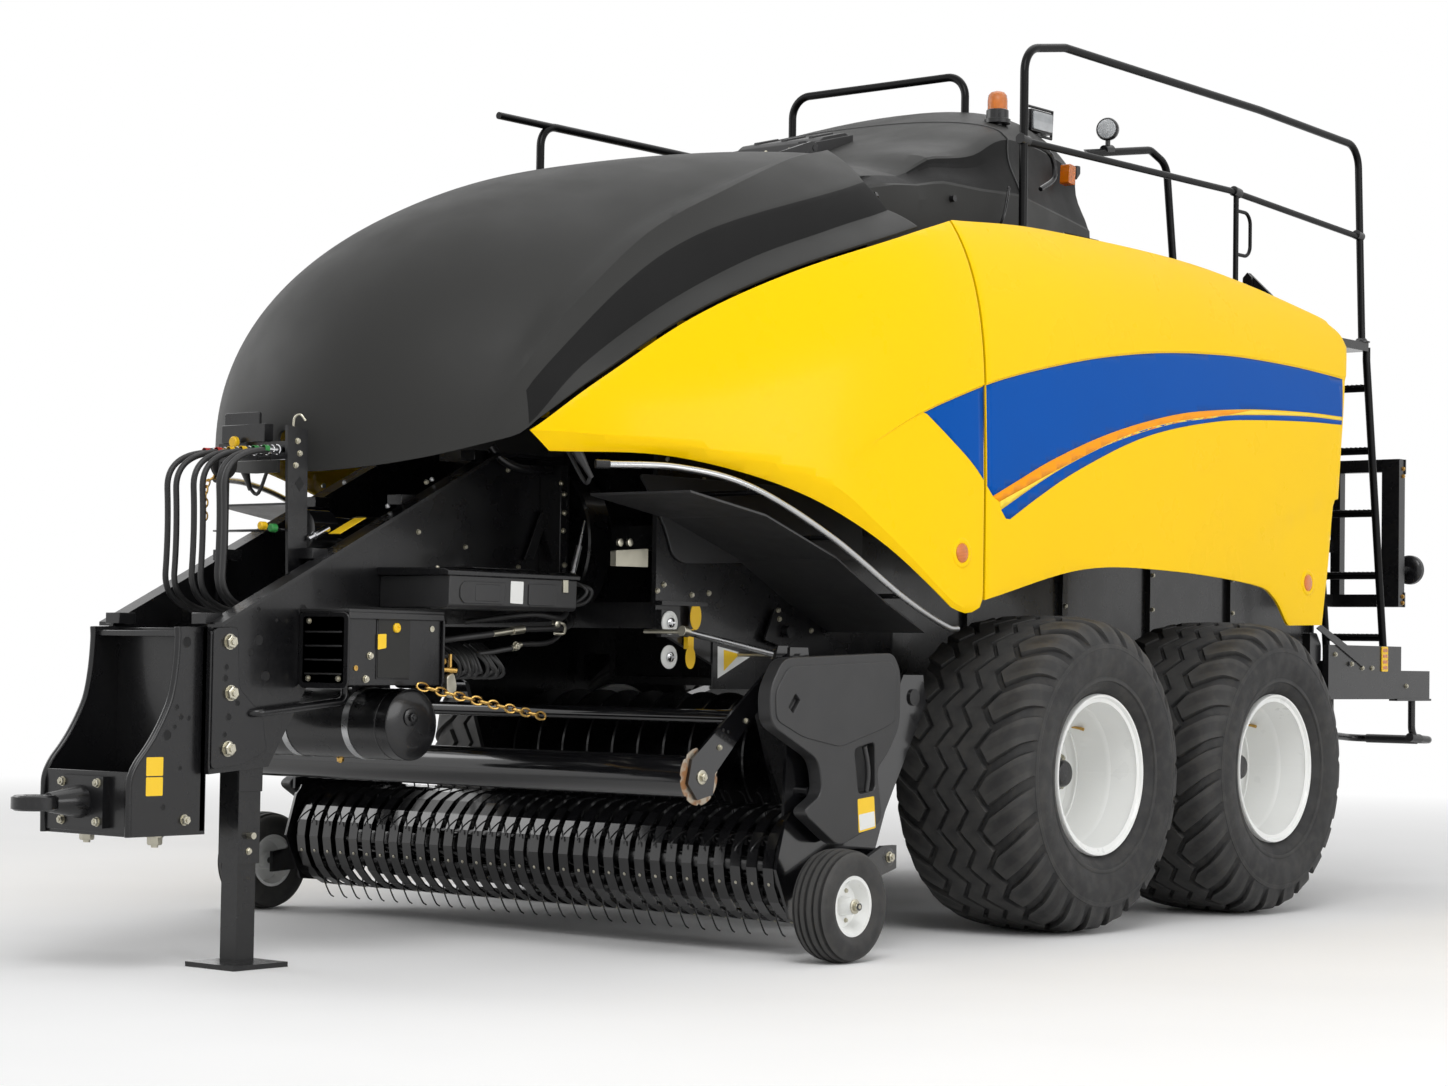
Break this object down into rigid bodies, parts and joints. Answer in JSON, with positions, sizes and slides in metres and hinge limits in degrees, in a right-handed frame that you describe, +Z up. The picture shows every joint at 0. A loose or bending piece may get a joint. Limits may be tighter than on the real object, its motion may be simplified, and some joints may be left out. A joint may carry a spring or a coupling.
{
  "type": "large square baler",
  "caption": "Towed large square baler with a curved hood, yellow side shields, wide pickup, tandem axle, parking jack, rear ladder and platform.",
  "frame": {"origin": "on the floor at the centre of the footprint box", "axes": "+Z up, -Y towards the tow eye, +X to the machine's left side"},
  "size_m": [3.014, 7.4, 3.497],
  "materials": {
    "tyre": "ribbed rubber",
    "rim_white": "satin white paint",
    "shield_yellow": "gloss yellow with blue stripes",
    "hood_charcoal": "satin charcoal",
    "moulded_black": "grained black plastic",
    "steel": "worn steel",
    "frame_black": "gloss black paint",
    "rubber_black": "black hose rubber"
  },
  "bodies": {
    "chassis": {"axles": "frame_black", "tandem_beams": "frame_black", "bale_chamber": "frame_black", "frame_cheeks": "frame_black", "cross_beams": "frame_black", "main_gearbox": "frame_black", "drawbar": "frame_black", "hitch_bracket": "frame_black", "tow_eye": "frame_black", "jack_tube": "frame_black", "valve_box": "frame_black", "tool_box": "moulded_black", "air_tank": "frame_black", "knotter_cover": "hood_charcoal", "top_frame": "frame_black", "feed_shafts": "frame_black", "inner_fenders": "moulded_black", "guard_rails": "frame_black", "twine_boxes": "moulded_black", "platform": "frame_black", "handrails": "frame_black", "grab_hoop": "frame_black", "ladder": "frame_black", "rear_frame": "frame_black", "rear_bumper": "frame_black", "lamps": "moulded_black", "chute_hinges": "frame_black", "hood_hinges": "frame_black", "hose_holder": "frame_black", "hydraulic_hoses": "rubber_black"},
    "jack": {"jack_leg": "steel"},
    "driveline": {"flywheel": "frame_black", "drive_shaft": "steel"},
    "hood": {"front_hood": "hood_charcoal"},
    "shield_front_left": {"side_shield_front_left": "shield_yellow"},
    "shield_front_right": {"side_shield_front_right": "shield_yellow"},
    "shield_rear_left": {"side_shield_rear_left": "shield_yellow"},
    "shield_rear_right": {"side_shield_rear_right": "shield_yellow"},
    "pickup": {"pickup_guards": "frame_black", "pickup_frame": "frame_black", "pickup_shields": "moulded_black", "gauge_arms": "frame_black"},
    "reel": {"pickup_reel": "frame_black"},
    "windguard": {"windguard_arms": "frame_black"},
    "roller": {"crop_roller": "steel"},
    "gauge_wheel_left": {"gauge_tyre_left": "tyre", "gauge_rim_left": "rim_white"},
    "gauge_wheel_right": {"gauge_tyre_right": "tyre", "gauge_rim_right": "rim_white"},
    "feed_rotor": {"feed_rotor": "frame_black"},
    "wheel_front_left": {"tyre_front_left": "tyre", "rim_front_left": "rim_white"},
    "wheel_front_right": {"tyre_front_right": "tyre", "rim_front_right": "rim_white"},
    "wheel_rear_left": {"tyre_rear_left": "tyre", "rim_rear_left": "rim_white"},
    "wheel_rear_right": {"tyre_rear_right": "tyre", "rim_rear_right": "rim_white"},
    "chute": {"bale_chute": "frame_black"}
  },
  "joints": [
    {"name": "jack_slide", "type": "slide", "parent": "chassis", "child": "jack", "axis": [0, 0, 1], "range_m": [0, 0.3]},
    {"name": "flywheel_spin", "type": "hinge", "parent": "chassis", "child": "driveline", "pos_m": [0, -1.385, 1.42], "axis": [0, 1, 0], "continuous": true},
    {"name": "hood_lift", "type": "hinge", "parent": "chassis", "child": "hood", "pos_m": [0, -0.19, 3.012], "axis": [-1, 0, 0], "range_deg": [0, 48]},
    {"name": "shield_front_left_hinge", "type": "hinge", "parent": "chassis", "child": "shield_front_left", "pos_m": [0.93, -1.2, 2.72], "axis": [0, -1, 0], "range_deg": [0, 45]},
    {"name": "shield_front_right_hinge", "type": "hinge", "parent": "chassis", "child": "shield_front_right", "pos_m": [-0.93, -1.2, 2.72], "axis": [0, 1, 0], "range_deg": [0, 45]},
    {"name": "shield_rear_left_hinge", "type": "hinge", "parent": "chassis", "child": "shield_rear_left", "pos_m": [0.93, 1, 2.72], "axis": [0, -1, 0], "range_deg": [0, 60]},
    {"name": "shield_rear_right_hinge", "type": "hinge", "parent": "chassis", "child": "shield_rear_right", "pos_m": [-0.93, 1, 2.72], "axis": [0, 1, 0], "range_deg": [0, 60]},
    {"name": "pickup_lift", "type": "hinge", "parent": "chassis", "child": "pickup", "pos_m": [0, -0.7, 0.88], "axis": [-1, 0, 0], "range_deg": [0, 12]},
    {"name": "reel_spin", "type": "hinge", "parent": "pickup", "child": "reel", "pos_m": [0, -1.25, 0.3], "axis": [1, 0, 0], "continuous": true},
    {"name": "windguard_lift", "type": "hinge", "parent": "pickup", "child": "windguard", "pos_m": [0, -1.37, 1.01], "axis": [-1, 0, 0], "range_deg": [0, 10]},
    {"name": "roller_spin", "type": "hinge", "parent": "windguard", "child": "roller", "pos_m": [0, -1.79, 0.615], "axis": [1, 0, 0], "continuous": true},
    {"name": "gauge_wheel_left_spin", "type": "hinge", "parent": "pickup", "child": "gauge_wheel_left", "pos_m": [1.42, -1.4, 0.19], "axis": [1, 0, 0], "continuous": true},
    {"name": "gauge_wheel_right_spin", "type": "hinge", "parent": "pickup", "child": "gauge_wheel_right", "pos_m": [-1.42, -1.4, 0.19], "axis": [1, 0, 0], "continuous": true},
    {"name": "feed_rotor_spin", "type": "hinge", "parent": "chassis", "child": "feed_rotor", "pos_m": [0, -0.56, 0.64], "axis": [1, 0, 0], "continuous": true},
    {"name": "chute_fold", "type": "hinge", "parent": "chassis", "child": "chute", "pos_m": [0, 3.425, 1], "axis": [-1, 0, 0], "range_deg": [0, 85]},
    {"name": "wheel_front_left_spin", "type": "hinge", "parent": "chassis", "child": "wheel_front_left", "pos_m": [1.197, 0.15, 0.595], "axis": [1, 0, 0], "continuous": true},
    {"name": "wheel_front_right_spin", "type": "hinge", "parent": "chassis", "child": "wheel_front_right", "pos_m": [-1.197, 0.15, 0.595], "axis": [1, 0, 0], "continuous": true},
    {"name": "wheel_rear_left_spin", "type": "hinge", "parent": "chassis", "child": "wheel_rear_left", "pos_m": [1.197, 1.486, 0.595], "axis": [1, 0, 0], "continuous": true},
    {"name": "wheel_rear_right_spin", "type": "hinge", "parent": "chassis", "child": "wheel_rear_right", "pos_m": [-1.197, 1.486, 0.595], "axis": [1, 0, 0], "continuous": true}
  ]
}
